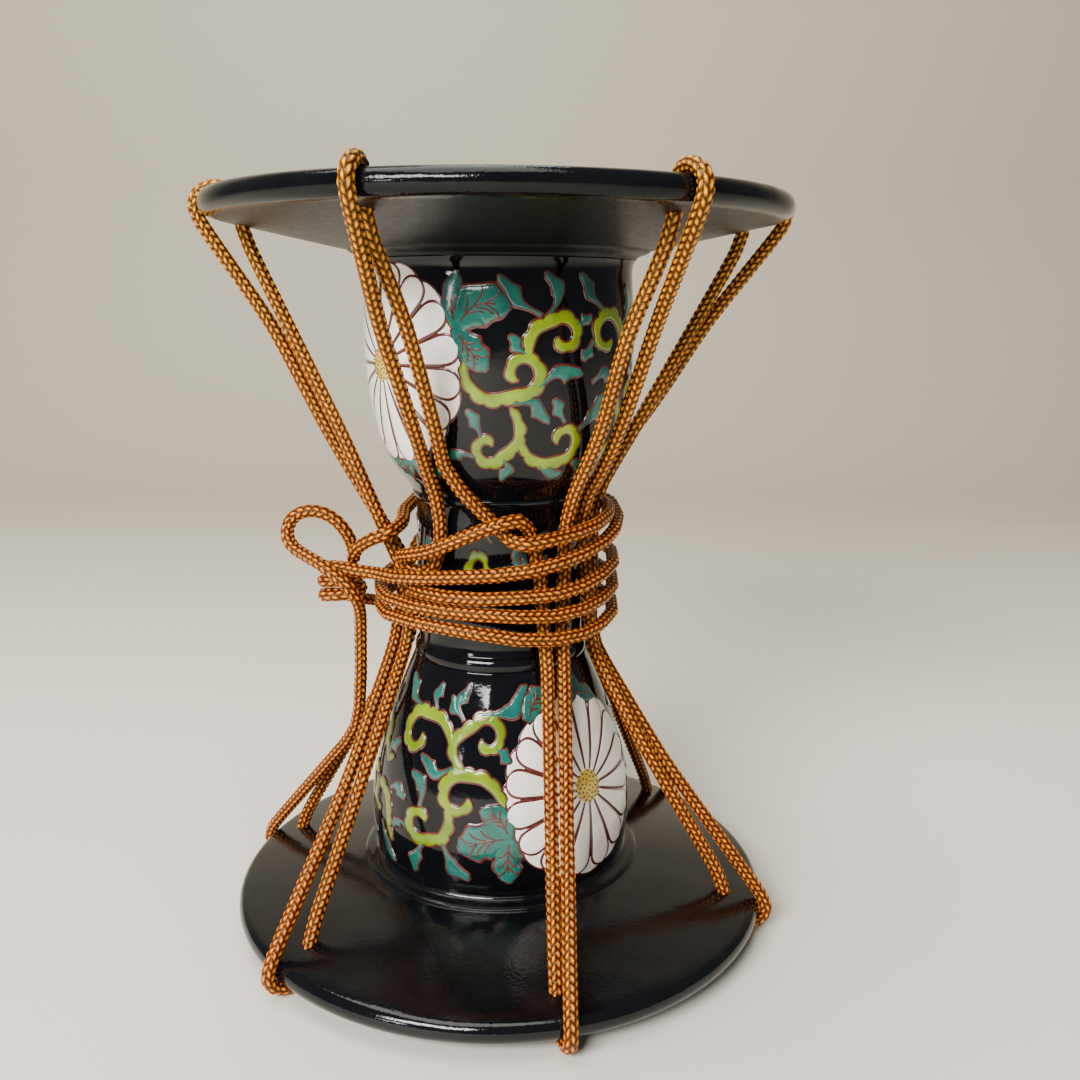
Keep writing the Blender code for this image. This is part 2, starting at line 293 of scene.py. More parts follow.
def smooth_line(points, step, closed=False):
    """A curve through points, at about even steps: centripetal Catmull-Rom."""
    points = np.asarray(points, float)
    if closed:
        padded = np.vstack([points[-1:], points, points[:2]])
    else:
        padded = np.vstack([2 * points[:1] - points[1:2], points, 2 * points[-1:] - points[-2:-1]])
    line = []
    for p0, p1, p2, p3 in zip(padded, padded[1:], padded[2:], padded[3:]):
        t1 = max(np.linalg.norm(p1 - p0), 1e-6) ** 0.5
        t2 = t1 + max(np.linalg.norm(p2 - p1), 1e-6) ** 0.5
        t3 = t2 + max(np.linalg.norm(p3 - p2), 1e-6) ** 0.5
        count = max(2, int(ceil(np.linalg.norm(p2 - p1) / step)))
        for t in np.linspace(t1, t2, count, endpoint=False):
            a1 = (t1 - t) / t1 * p0 + t / t1 * p1
            a2 = (t2 - t) / (t2 - t1) * p1 + (t - t1) / (t2 - t1) * p2
            a3 = (t3 - t) / (t3 - t2) * p2 + (t - t2) / (t3 - t2) * p3
            b1 = (t2 - t) / t2 * a1 + t / t2 * a2
            b2 = (t3 - t) / (t3 - t1) * a2 + (t - t1) / (t3 - t1) * a3
            line.append((t2 - t) / (t2 - t1) * b1 + (t - t1) / (t2 - t1) * b2)
    if not closed:
        line.append(points[-1])
    return np.array(line)


def resampled(line, count):
    """The same number of points at even distances along a line."""
    line = np.asarray(line, float)
    lengths = np.concatenate([[0.0], np.cumsum(np.linalg.norm(np.diff(line, axis=0), axis=1))])
    at = np.linspace(0.0, lengths[-1], count)
    return np.stack([np.interp(at, lengths, line[:, i]) for i in range(line.shape[1])], axis=1)


def mirrored(profile):
    """A lower profile turned over, so that it serves the upper half and still runs down its outer side."""
    return [(radius, TWIN_HEIGHTS - height) for radius, height in reversed(profile)]


def arc(centre, radius, start, end, steps):
    turns = [radians(start + (end - start) * i / steps) for i in range(steps + 1)]
    return [(centre[0] + radius * cos(turn), centre[1] + radius * sin(turn)) for turn in turns]


def revolved(shape, outline, sides=TURN_SIDES, centre=(0.0, 0.0), closed=True):
    """An outline turned round an upright axis."""
    outline = np.asarray(outline, float)
    turns = np.linspace(0, 2 * pi, sides, endpoint=False)
    rings = np.stack(
        [
            centre[0] + outline[None, :, 0] * np.cos(turns)[:, None],
            centre[1] + outline[None, :, 0] * np.sin(turns)[:, None],
            np.broadcast_to(outline[None, :, 1], (sides, len(outline))),
        ],
        axis=-1,
    )
    shape.grid(rings, closed_along=True, closed_round=closed)


# Turned body

UPPER_BOWL = [
    (47.0, TWIN_HEIGHTS - SEAM - CREASE),
    (46.3, 239.6),
    (45.9, 237.0),
    (46.2, 231.0),
    (46.5, 222.0),
    (46.3, 207.0),
    (44.8, 193.5),
    (41.6, 180.0),
    (37.4, 170.5),
    (32.8, 164.6),
    (31.2, WAIST_TOP + CREASE),
]
LOWER_BOWL = [
    (31.5, WAIST_BOTTOM - CREASE),
    (32.4, 99.6),
    (35.0, 93.5),
    (39.4, 82.5),
    (43.8, 70.0),
    (46.9, 57.0),
    (48.1, 43.5),
    (47.8, 32.0),
    (47.1, SEAM + CREASE),
]
FINE = 0.7


def flange_outline(ring_height):
    """Neck, moulded shoulder ring, sloping disc with a slight rim bead, end ring, ledge and flared bore."""
    half = RIM_THICKNESS / 2
    rim_centre = (DISC_RADIUS - half, RING_HEIGHT + half)
    end = RING_HEIGHT - ring_height
    neck = smooth_line([(47.1, SEAM), (47.6, 25.2), (49.0, 24.5), (50.6, 24.0), (51.7, 23.4)], FINE)
    shoulder = smooth_line([(51.9, 22.9), (53.6, 22.5), (56.0, 22.05)], FINE)
    slope = smooth_line([(56.0, 22.05), (70.0, 19.05), (84.0, 16.0), (94.6, 13.75)], 2.0)
    rim = arc(rim_centre, half, 82, -90, 16)
    under = smooth_line([(92.0, RING_HEIGHT), (80.0, RING_HEIGHT), (71.4, RING_HEIGHT)], 2.0)
    foot = [(70.2, 5.1), (69.3, end + 2.0), (68.9, end + 0.9), (68.2, end + 0.2), (67.2, end)]
    inner = [(63.0, end), (62.2, end + 0.3), (61.5, end + 1.0), (61.0, end + 2.0), (61.0, RING_HEIGHT)]
    bore = smooth_line([(56.0, RING_HEIGHT), (49.0, 9.5), (43.0, 17.0), (BORE_RADIUS, SEAM)], 1.5)
    ring = [smooth_line(foot, 0.5), smooth_line(inner, 0.5)]
    return np.vstack([neck, shoulder, slope[1:], rim, under, *ring, bore])


def walled(outside, inner_radii):
    """A thrown section from its smoothed outer side and the inner side's few radii."""
    inner = [(radius, height) for radius, (_, height) in zip(reversed(inner_radii), reversed(outside))]
    return np.vstack([smooth_line(outside, FINE), smooth_line(inner, 3.0)])


def waist_outline():
    ring = WAIST_RADIUS + 1.3
    inner = WAIST_RADIUS - 6.0
    top = WAIST_TOP
    bottom = WAIST_BOTTOM
    upper = [(ring, top), (ring + 0.15, top - 0.9), (ring - 0.2, top - 2.0), (WAIST_RADIUS, top - 3.4)]
    body = [(WAIST_RADIUS, top - 8.0), (WAIST_RADIUS - 0.2, 132.0), (WAIST_RADIUS, bottom + 9.0)]
    lower = [(WAIST_RADIUS, bottom + 5.0), (ring - 0.1, bottom + 3.2)]
    lower += [(ring + 0.25, bottom + 1.6), (ring, bottom)]
    lines = [smooth_line(upper, 0.4), smooth_line(body, 2.0), smooth_line(lower, 0.4)]
    return np.vstack(lines + [[(inner, bottom), (inner, top)]])


def drilled(piece, first_bearing, upper):
    """Cuts the six lacing holes, each with its edges rounded over."""
    side = [
        (0.0, 3.0),
        (7.2, 3.0),
        (5.75, 5.35),
        (5.0, 5.75),
        (4.6, 6.5),
        (HOLE_RADIUS, 7.5),
        (HOLE_RADIUS, 13.6),
        (4.62, 14.7),
        (5.05, 15.6),
        (5.9, 16.5),
        (8.4, 18.6),
        (0.0, 18.6),
    ]
    if upper:
        side = [(radius, TWIN_HEIGHTS - height) for radius, height in reversed(side)]
    shape = Shape()
    profile = np.array(side)
    profile[:, 0] = np.maximum(profile[:, 0], 0.001)
    for i in range(HOLES):
        centre = around(HOLE_CIRCLE, first_bearing + STATION_STEP * i, 0.0)
        revolved(shape, profile, 32, centre, closed=False)
    mesh = bpy.data.meshes.new(piece.name + "_cutter")
    mesh.from_pydata((np.vstack(shape.points) * MM).tolist(), [], np.vstack(shape.faces).tolist())
    cutter = bpy.data.objects.new(mesh.name, mesh)
    bpy.context.scene.collection.objects.link(cutter)
    weld = cutter.modifiers.new("weld", "WELD")
    weld.merge_threshold = 0.01 * MM
    cut = piece.modifiers.new("holes", "BOOLEAN")
    cut.object = cutter
    cut.operation = "DIFFERENCE"
    cut.solver = "EXACT"
    applied(piece)
    bpy.data.objects.remove(cutter)


def applied(piece):
    """Bakes a piece's modifiers into its mesh."""
    graph = bpy.context.evaluated_depsgraph_get()
    mesh = bpy.data.meshes.new_from_object(piece.evaluated_get(graph))
    piece.modifiers.clear()
    piece.data = mesh
    mesh.shade_smooth()


def turned_body(glaze, lower_glaze, upper_glaze):
    lower = flange_outline(RING_HEIGHT)
    upper = mirrored(flange_outline(UPPER_RING_HEIGHT).tolist())
    for name, outline, first, is_upper, disc_glaze in (
        ("lower_flange", lower, LOWER_FIRST, False, lower_glaze),
        ("upper_flange", upper, UPPER_FIRST, True, upper_glaze),
    ):
        shape = Shape()
        revolved(shape, outline)
        piece = shape.build(name + "_glaze", disc_glaze, "black_glaze", name)
        face_out(piece)
        drilled(piece, first, is_upper)
    upper_inner = [BORE_RADIUS, 40.6, 40.2, 40.3, 40.5, 40.2, 38.5, 34.8, 30.2, 25.6, 24.0]
    lower_inner = [24.0, 25.0, 28.0, 33.0, 37.6, 40.8, 42.0, 41.6, BORE_RADIUS]
    for name, outline in (
        ("upper_bowl", walled(UPPER_BOWL, upper_inner)),
        ("lower_bowl", walled(LOWER_BOWL, lower_inner)),
        ("waist_tube", waist_outline()),
    ):
        shape = Shape()
        revolved(shape, outline)
        face_out(shape.build(name + "_glaze", glaze, "black_glaze", name))


def face_out(piece):
    """Turns every face of a closed mesh outwards."""
    work = bmesh.new()
    work.from_mesh(piece.data)
    bmesh.ops.recalc_face_normals(work, faces=work.faces)
    work.to_mesh(piece.data)
    work.free()


# Enamel decoration, drawn on a bowl as if unrolled: x along its girth and y up, in millimetres

GIRTH = 46.0


class Bowl:
    """The surface that one bowl's enamel lies on."""

    def __init__(self, profile):
        line = smooth_line(profile, 0.4)
        order = np.argsort(line[:, 1])
        self.heights = line[order, 1]
        self.radii = line[order, 0]

    def at(self, flat, lift):
        """Points on the bowl for flat points, raised along the surface's normal."""
        flat = np.asarray(flat, float)
        bearing = flat[..., 0] / GIRTH
        height = flat[..., 1]
        radius = np.interp(height, self.heights, self.radii)
        above, below = (np.interp(height + step, self.heights, self.radii) for step in (0.5, -0.5))
        slope = above - below
        size = np.sqrt(1 + slope * slope)
        out = radius + lift / size
        rise = height - lift * slope / size
        return np.stack([out * np.sin(bearing), -out * np.cos(bearing), rise], axis=-1)


def girth(bearing):
    return radians(bearing) * GIRTH


def flat_points(pairs):
    """Flat points from pairs of bearing and height."""
    return np.array([(girth(bearing), height) for bearing, height in pairs])


# The places of a band's points from its one side to the other, and the depth its edges sink into the glaze
ACROSS = np.array([-1.0, -0.94, -0.8, -0.55, -0.25, 0.0, 0.25, 0.55, 0.8, 0.94, 1.0])
SINK = -0.12


EDGE = 6  # how steep a band's edges are
LINE_EDGE = 22
FULL_WIDTH = 0.25  # a narrower band is lower


def crown(height, power):
    """Heights across a band of enamel, steep at the edges and nearly flat over the middle."""
    return SINK + (height - SINK) * (1 - np.abs(ACROSS) ** power) ** 0.6


class Enamel:
    """All the motifs of one bowl, by colour."""

    def __init__(self, bowl):
        self.bowl = bowl
        self.shapes = {}

    def band(self, colour, line, left, right, height):
        """A raised band along a flat line, with its own width on each side."""
        line = np.asarray(line, float)
        along = np.gradient(line, axis=0)
        along /= np.linalg.norm(along, axis=1)[:, None] + 1e-9
        side = np.stack([-along[:, 1], along[:, 0]], axis=1)
        reach = np.where(ACROSS[None, :] > 0, left[:, None], right[:, None]) * ACROSS[None, :]
        flat = line[:, None, :] + side[:, None, :] * reach[:, :, None]
        ends = np.minimum(1.0, (left + right) / FULL_WIDTH)[:, None]
        lift = SINK + (crown(height, LINE_EDGE if colour == "line" else EDGE)[None, :] - SINK) * ends
        self.shapes.setdefault(colour, Shape()).grid(self.bowl.at(flat, lift))

    def lined_band(self, colour, line, left, right, height, line_width):
        """A band with a dark line drawn round it."""
        self.band("line", stretched(line, line_width), left + line_width, right + line_width, height * 0.6)
        self.band(colour, line, left, right, height)


def stretched(line, amount):
    """A line with its ends drawn out a little."""
    line = np.array(line, float)
    start = line[0] - line[1]
    end = line[-1] - line[-2]
    line[0] += start / (np.linalg.norm(start) + 1e-9) * amount
    line[-1] += end / (np.linalg.norm(end) + 1e-9) * amount
    return line


PETALS = 16
PETAL_TURN = pi / PETALS
DOTS = 40
GOLDEN_TURN = 2.399963
CENTRE_RADIUS = 6.4
PETAL_LINE = 0.32


def petal(enamel, centre, turn, reach, inner, height, blunt):
    """One petal that widens to a rounded tip, and the line round it."""
    heading = np.array([cos(turn), sin(turn)])
    meets = reach * (1 - blunt)
    white_reach = reach - PETAL_LINE * 1.5
    for colour, end, trim, lift in (
        ("line", reach, -0.12, height * 0.62),
        ("white", white_reach, PETAL_LINE, height),
    ):
        root = np.linspace(inner, meets, 16, endpoint=False)
        along = np.concatenate([root, meets + (end - meets) * tip_steps(16)])
        share = np.clip((along - meets) / (end - meets), 0, 1)
        half = along * np.tan(PETAL_TURN) * np.maximum(0.0, 1 - share**2.4) ** 0.5 - trim
        half = np.where(share < 1, np.maximum(half, 0.0), 0.0)
        enamel.band(colour, centre + along[:, None] * heading, half, half, lift)


def tip_steps(count):
    """Shares from 0 to 1 that crowd towards 1."""
    return np.sin(np.linspace(0.0, pi / 2, count))


def flower(enamel, bearing, height, reach):
    """A chrysanthemum: long petals over the tips of those behind, and a dotted yellow centre."""
    centre = np.array([girth(bearing), height])
    for i in range(PETALS):
        petal(enamel, centre, 2 * PETAL_TURN * i, reach, reach * 0.8, 0.13, 0.09)
    for i in range(PETALS):
        petal(enamel, centre, 2 * PETAL_TURN * (i + 0.5), reach * 0.965, CENTRE_RADIUS - 1.0, 0.5, 0.24)
    disc(enamel, "line", centre, CENTRE_RADIUS + 0.5, 0.5)
    disc(enamel, "yellow", centre, CENTRE_RADIUS, 0.75)
    for i in range(DOTS):
        far = CENTRE_RADIUS * 0.9 * ((i + 0.6) / DOTS) ** 0.5
        turn = i * GOLDEN_TURN
        at = centre + far * np.array([cos(turn), sin(turn)])
        lean = turn * 1.7
        reach_dot = 0.52 * np.array([cos(lean), sin(lean)])
        line = np.array([at - reach_dot, at - reach_dot * 0.5, at + reach_dot * 0.5, at + reach_dot])
        wide = np.array([0.06, 0.27, 0.27, 0.06])
        enamel.band("dot", line, wide, wide, 0.98 - 0.3 * (far / CENTRE_RADIUS) ** 4)


def disc(enamel, colour, centre, radius, height):
    """A round, domed spot."""
    turns = np.linspace(0, 2 * pi, 41)
    rows = []
    for share in (1.0, 0.97, 0.88, 0.7, 0.4, 0.02):
        flat = centre + radius * share * np.stack([np.cos(turns), np.sin(turns)], axis=1)
        rows.append(enamel.bowl.at(flat, np.full(len(turns), SINK + (height - SINK) * (1 - share**4) ** 0.5)))
    enamel.shapes.setdefault(colour, Shape()).grid(rows)


# Widths along a scroll and along the leaves, as stops of place and width
SCROLL = (
    (0.0, 0.1),
    (0.04, 0.55),
    (0.2, 0.85),
    (0.5, 1.0),
    (0.8, 0.72),
    (0.95, 0.68),
    (0.985, 0.45),
    (1.0, 0.05),
)
FLAME = (
    (0.0, 0.2),
    (0.2, 0.2),
    (0.36, 0.42),
    (0.52, 0.92),
    (0.63, 1.0),
    (0.74, 0.72),
    (0.82, 0.62),
    (0.92, 0.5),
    (1.0, 0.06),
)
BROAD = ((0.0, 0.3), (0.12, 0.6), (0.32, 0.95), (0.55, 1.0), (0.78, 0.84), (0.92, 0.52), (1.0, 0.1))


def scroll(enamel, stem, centre, radius, start, sweep, width=4.3):
    """A vine scroll: a stem that runs into a closing curl, smooth inside and lobed like a cloud outside."""
    hub = np.array([girth(centre[0]), centre[1]])
    curl = []
    for share in np.linspace(0.0, 1.0, 26):
        turn = radians(start + sweep * share)
        far = radius * (1 - 0.62 * share**1.3)
        curl.append(hub + far * np.array([cos(turn), sin(turn)]))
    line = smooth_line(np.vstack([flat_points(stem), curl]), 0.5)
    length = np.linalg.norm(np.diff(line, axis=0), axis=1).sum()
    line = resampled(line, int(length / 0.45))
    share = np.linspace(0.0, 1.0, len(line))
    places, widths = zip(*SCROLL)
    body = np.interp(share, places, widths)
    half = body * width / 2
    lobes = int(round(length / 4.9))
    ripple = (np.abs(np.sin(pi * share * lobes)) ** 0.6 - 0.4) * 1.25 * np.minimum(1.0, body * 1.1)
    inside = half * 0.8
    outside = half * 1.05 + ripple
    left, right = (inside, outside) if sweep > 0 else (outside, inside)
    enamel.lined_band("lime", line, left, right, 0.5, 0.55)


def leaf(enamel, points, width, veins=0):
    """A flame-shaped bud on a thin stem, or with veins a broad leaf, along a few points from base to tip."""
    line = smooth_line(flat_points(points), 0.5)
    length = np.linalg.norm(np.diff(line, axis=0), axis=1).sum()
    line = resampled(line, max(14, int(length / 0.4)))
    share = np.linspace(0.0, 1.0, len(line))
    body = shaped(share, BROAD if veins else FLAME)
    sway = 0.0 if veins else 0.36 * np.sin(share * 8.5 + width)
    wave = 0.1 if veins else 0.04
    left = body * width / 2 * (1 + sway + wave * np.sin(share * 19.0))
    right = body * width / 2 * (1 - sway + wave * np.sin(share * 19.0 + 2.0))
    enamel.lined_band("teal", line, left, right, 0.5, 0.55)
    if veins:
        vein(enamel, line[int(len(line) * 0.12) : int(len(line) * 0.8)])
        for i in range(veins):
            at = int(len(line) * (0.26 + 0.17 * i))
            for hand in (-1, 1):
                ahead = line[min(at + 6, len(line) - 1)] - line[at]
                ahead /= np.linalg.norm(ahead)
                out = np.array([-ahead[1], ahead[0]]) * hand
                reach = body[at] * width * 0.34
                bend = line[at] + (ahead * 0.8 + out * 0.5) * reach
                vein(enamel, smooth_line([line[at], bend, line[at] + (ahead * 1.1 + out) * reach], 0.5))


def shaped(share, stops):
    """Smooth widths along a leaf from its stops of place and width."""
    curve = smooth_line(stops, 0.02)
    order = np.argsort(curve[:, 0])
    return np.maximum(0.04, np.interp(share, curve[order, 0], curve[order, 1]))


def vein(enamel, line):
    wide = np.full(len(line), 0.32)
    wide[0] = wide[-1] = 0.1
    enamel.band("line", line, wide, wide, 0.6)


def lobed_leaf(enamel, base, lobes):
    """A broad leaf of several veined lobes that spring from one base; lobes are (middle, tip, width)."""
    for middle, end, width in lobes:
        leaf(enamel, [base, middle, end], width, veins=3 if width > 8 else 2)


def upper_group(enamel, turn):
    """One flower with its leaves and the scrolls to its right, on the upper bowl."""

    def put(pairs):
        return [(bearing + turn, height) for bearing, height in pairs]

    flower(enamel, -53.5 + turn, 207.0, 34.0)
    for stem, bearing, height, curl in (
        ([(-12.0, 209.0), (-10.5, 202.5), (-3.5, 197.5)], 10.6, 205.2, (6.4, 262, 335, 4.6)),
        ([(14.0, 208.0), (13.5, 213.5), (16.0, 218.5)], 27.6, 216.8, (5.6, 125, -290)),
        ([(6.5, 194.5), (9.5, 189.5), (9.5, 183.5)], -3.2, 181.2, (5.0, 320, -280)),
        ([(11.0, 183.5), (15.0, 178.5), (22.0, 176.2)], 30.5, 182.8, (6.0, 275, 270)),
        ([(60.0, 203.0), (61.5, 211.5), (59.5, 218.5)], 50.5, 217.0, (6.6, 55, 265, 4.0)),
        ([(60.5, 201.0), (62.0, 195.0), (67.0, 190.5)], 74.5, 196.5, (6.0, 270, 290)),
        ([(64.0, 192.0), (66.0, 186.0), (63.0, 180.0)], 54.0, 181.5, (5.0, 320, -270)),
    ):
        scroll(enamel, put(stem), (bearing + turn, height), *curl)
    lobed_leaf(
        enamel,
        (-15.0 + turn, 219.0),
        [
            ((-16.5 + turn, 228.0), (-14.5 + turn, 236.0), 6.5),
            ((-7.0 + turn, 226.0), (6.0 + turn, 226.0), 13.5),
            ((-11.0 + turn, 214.0), (-3.0 + turn, 206.5), 9.5),
        ],
    )
    lobed_leaf(
        enamel,
        (-46.0 + turn, 175.5),
        [
            ((-40.0 + turn, 172.5), (-28.0 + turn, 172.5), 7.0),
            ((-52.0 + turn, 172.0), (-66.0 + turn, 173.5), 7.0),
        ],
    )
    for points, width in (
        ([(18, 223), (8.5, 228), (2, 235)], 5.0),
        ([(21.5, 223.5), (25.5, 229), (20.5, 236)], 4.8),
        ([(47, 225), (41, 229.5), (36, 236)], 4.6),
        ([(33, 220.5), (36, 220.8), (40.5, 223)], 3.6),
        ([(42, 215), (40, 212.5), (37, 209)], 4.0),
        ([(12.5, 211), (9.5, 213), (6, 217)], 4.2),
        ([(17.5, 201), (27, 205.8), (36.5, 204.5)], 5.6),
        ([(7.5, 196), (15.5, 195.6), (22.5, 189.5)], 5.0),
        ([(30, 189.5), (28, 192), (24.5, 197)], 4.4),
        ([(-6, 185), (-7.5, 189), (-11.5, 193.5)], 4.4),
        ([(-10, 178.5), (-16, 179.5), (-23, 177)], 4.0),
        ([(3.5, 178), (5.5, 174.5), (2.5, 170.5)], 4.6),
        ([(42, 202), (49, 204.5), (56, 203)], 4.6),
        ([(37.5, 186.5), (43.5, 190), (49.5, 197.5)], 5.4),
        ([(20, 175.5), (25, 172.5), (33, 172)], 4.4),
        ([(61, 220), (67, 225), (66, 233)], 4.8),
        ([(62, 212), (70, 213), (76, 219)], 5.0),
        ([(66, 192.5), (74, 184), (82, 182)], 5.0),
        ([(52, 177), (44, 173.5), (38, 176)], 4.4),
        ([(70, 205), (77, 208), (84, 205)], 4.0),
        ([(64, 180), (72, 175.5), (80, 174)], 4.4),
    ):
        leaf(enamel, put(points), width)


def lower_group(enamel, turn):
    """One flower with its leaves and the scrolls to its left, on the lower bowl."""

    def put(pairs):
        return [(bearing + turn, height) for bearing, height in pairs]

    flower(enamel, 43.0 + turn, 61.5, 33.0)
    for stem, bearing, height, curl in (
        ([(-14.5, 70.5), (-19.5, 74.0), (-21.0, 79.0)], -4.5, 81.6, (6.3, 140, -300, 4.4)),
        ([(-21.5, 76.5), (-24.5, 81.5), (-30.0, 85.5)], -43.5, 79.4, (7.2, 75, 290, 4.6)),
        ([(3.5, 59.5), (0.0, 64.5), (-6.0, 68.2)], -15.6, 61.8, (7.2, 78, 275, 4.8)),
        ([(-21.5, 58.0), (-20.5, 52.5), (-23.5, 46.8)], -34.0, 50.2, (6.0, 305, -275, 4.6)),
        ([(-52.0, 38.5), (-55.0, 42.5), (-55.5, 47.5)], -64.5, 50.0, (6.6, 10, 280, 4.4)),
        ([(-57.0, 68.0), (-62.0, 66.5), (-66.5, 70.5)], -76.0, 73.0, (6.0, 335, 280, 4.2)),
        ([(-70.0, 58.5), (-76.0, 60.0), (-82.0, 57.0)], -85.5, 49.5, (6.2, 85, -280, 4.2)),
    ):
        scroll(enamel, put(stem), (bearing + turn, height), *curl)
    lobed_leaf(
        enamel,
        (5.5 + turn, 48.5),
        [
            ((1.5 + turn, 55.0), (-6.5 + turn, 58.0), 9.0),
            ((-4.0 + turn, 47.5), (-15.5 + turn, 43.5), 13.5),
            ((4.5 + turn, 40.5), (5.5 + turn, 32.0), 9.5),
        ],
    )
    lobed_leaf(
        enamel,
        (36.0 + turn, 92.5),
        [
            ((43.0 + turn, 97.0), (54.0 + turn, 95.0), 8.5),
            ((56.0 + turn, 91.0), (66.0 + turn, 87.0), 7.0),
        ],
    )
    lobed_leaf(
        enamel,
        (15.5 + turn, 86.5),
        [((19.5 + turn, 91.0), (27.0 + turn, 96.0), 9.0)],
    )
    for points, width in (
        ([(-45.5, 88), (-54, 90.5), (-62, 97)], 5.4),
        ([(-35, 88.5), (-36.5, 92), (-34, 97)], 4.6),
        ([(-18, 86.5), (-21.5, 91), (-15.5, 98)], 4.6),
        ([(-19, 87.5), (-24, 90), (-26, 93.5)], 3.6),
        ([(-8, 88.5), (6, 90), (17.5, 97.5)], 6.0),
        ([(-0.5, 78.5), (2, 77), (6.5, 74)], 4.4),
        ([(-19.5, 71), (-29, 68.5), (-37.5, 73)], 4.8),
        ([(-35, 56), (-34, 61.5), (-41, 67)], 5.0),
        ([(-32, 43), (-36, 38), (-37.5, 31)], 5.0),
        ([(-23, 45), (-19.5, 38.5), (-11.5, 32.5)], 5.6),
        ([(-62, 66), (-61, 70.5), (-55, 74.5)], 4.6),
        ([(-55, 57.5), (-50, 59), (-44, 56.5)], 4.6),
        ([(-42, 46.5), (-46, 47.5), (-51, 44)], 4.0),
        ([(-61, 43), (-58, 36.5), (-51, 30.5)], 4.6),
        ([(-70, 78), (-76, 83), (-74, 90)], 4.8),
        ([(-83, 75), (-89, 80), (-96, 81)], 4.6),
        ([(-72, 57), (-70, 52.5), (-73, 47)], 4.2),
        ([(-91, 54), (-97, 60), (-95, 68)], 4.8),
        ([(-84, 44), (-78, 38), (-70, 35)], 5.0),
        ([(-90, 44), (-93, 38), (-90, 31)], 4.6),
    ):
        leaf(enamel, put(points), width)


def waist_enamel(enamel):
    """The small ring scrolls and leaves that show between the turns of cord."""
    for turn in range(-148, 190, 68):
        scroll(enamel, [(-6.0 + turn, 133.0), (-9.5 + turn, 137.0)], (turn + 0.5, 138.5), 5.2, 175, -250, 3.6)
        leaf(enamel, [(turn + 26, 136.5), (turn + 27, 141), (turn + 24, 147)], 8.0, veins=2)
        leaf(enamel, [(turn + 8, 148), (turn + 4, 151), (turn - 3, 152)], 3.6)


def decorate(materials):
    for name, bowl, group in (
        ("upper", Bowl(UPPER_BOWL), upper_group),
        ("lower", Bowl(LOWER_BOWL), lower_group),
    ):
        enamel = Enamel(bowl)
        group(enamel, 0.0)
        group(enamel, 180.0)
        paint(enamel, name, materials)
    waist = Enamel(Bowl([(WAIST_RADIUS, 106.0), (WAIST_RADIUS - 0.2, 132.0), (WAIST_RADIUS, 158.0)]))
    waist_enamel(waist)
    paint(waist, "waist", materials)


def paint(enamel, place, materials):
    for colour, shape in enamel.shapes.items():
        shape.build(f"{place}_enamel_{colour}", materials[colour], "black_glaze")


# Cords: the same paths as the CAD's cords


def around(radius, bearing, height):
    """A point by its distance from the axis, its bearing and its height."""
    turn = radians(bearing)
    return np.array([radius * sin(turn), -radius * cos(turn), height])


def upper_bearing(index):
    return UPPER_FIRST + STATION_STEP * index


def lower_bearing(index):
    return LOWER_FIRST + STATION_STEP * index


def station(bearing, upper, lean=0.0, outwards=True):
    """The cord's turn at one station: through the hole, across the far face and round the rim.

    The lean turns the part at the rim away from the hole's bearing.
    """
    side = [(84.6, 21.5, 0.0), (86.3, 16.0, 0.0), (87.0, 9.5, 0.0), (87.4, 2.75, 0.0), (94.8, 2.65, 0.75)]
    rim_centre = (DISC_RADIUS - RIM_THICKNESS / 2, RING_HEIGHT + RIM_THICKNESS / 2)
    side += [(radius, depth, 1.0) for radius, depth in arc(rim_centre, RIM_TURN, -55, 30, 3)]
    turn = []
    for radius, depth, share in side:
        height = TWIN_HEIGHTS - depth if upper else depth
        turn.append(around(radius, bearing + lean * share, height))
    return turn if outwards else turn[::-1]


def waist(top, bottom, entry=162.5, leave=104.0):
    """A strand's stretch along the waist, by its bearings at the top and the bottom."""
    middle = (top + bottom) / 2
    return [
        around(36.3, top, entry),
        around(33.6, top, entry - 7.0),
        around(33.4, middle, (entry + leave) / 2),
        around(33.4, bottom, leave + 8.0),
        around(34.4, bottom, leave),
    ]


def lacing_path():
    """One cord that zigzags between the heads, from under the left lower station round to the rear waist."""
    path = station(lower_bearing(-2), upper=False)[:4][::-1]
    path += waist(-94, -101, entry=136.0)[::-1]
    path += [around(59.5, -85, 180.0), around(78.0, -84.5, 219.0)]
    path += station(upper_bearing(-1), upper=True, lean=-1.0, outwards=False)
    path += [around(55.5, -79, 182.0)]
    path += waist(-77, -84, entry=134.0)
    path += [around(58.0, -53, 67.0)]
    path += station(lower_bearing(-1), upper=False, lean=-0.7)
    path += [around(62.0, -58, 63.0)]
    path += crossing_strand()[::-1]
    path += station(upper_bearing(0), upper=True, lean=2.3)
    path += hooked_strand()
    path += station(lower_bearing(0), upper=False, lean=0.5)
    path += waist(44, 42)[::-1]
    path += [around(50.5, 42.5, 186.0), around(68.0, 36.0, 216.0)]
    path += station(upper_bearing(1), upper=True, lean=-1.9)
    path += [around(72.0, 43.0, 220.0), around(53.5, 49.5, 187.0), around(42.6, 55, 170.5)]
    path += waist(58, 76)
    path += [around(57.5, 70, 67.5)]
    path += station(lower_bearing(1), upper=False, lean=2.0)
    path += [around(62.0, 75, 64.0)]
    path += waist(90, 88)[::-1]
    path += [around(54.0, 92, 193.0)]
    path += station(upper_bearing(2), upper=True, lean=-1.0)
    path += [around(75.5, 98.5, 221.0), around(57.5, 99.5, 193.0)]
    path += waist(106, 112)
    path += station(lower_bearing(2), upper=False)
    path += waist(142, 140)[::-1]
    path += station(upper_bearing(3), upper=True)
    path += waist(166, 172)
    path += station(lower_bearing(3), upper=False, lean=1.8)
    path += waist(-164, -163)[::-1]
    path += station(upper_bearing(4), upper=True)
    path += waist(-136, -134)[:3]
    return path


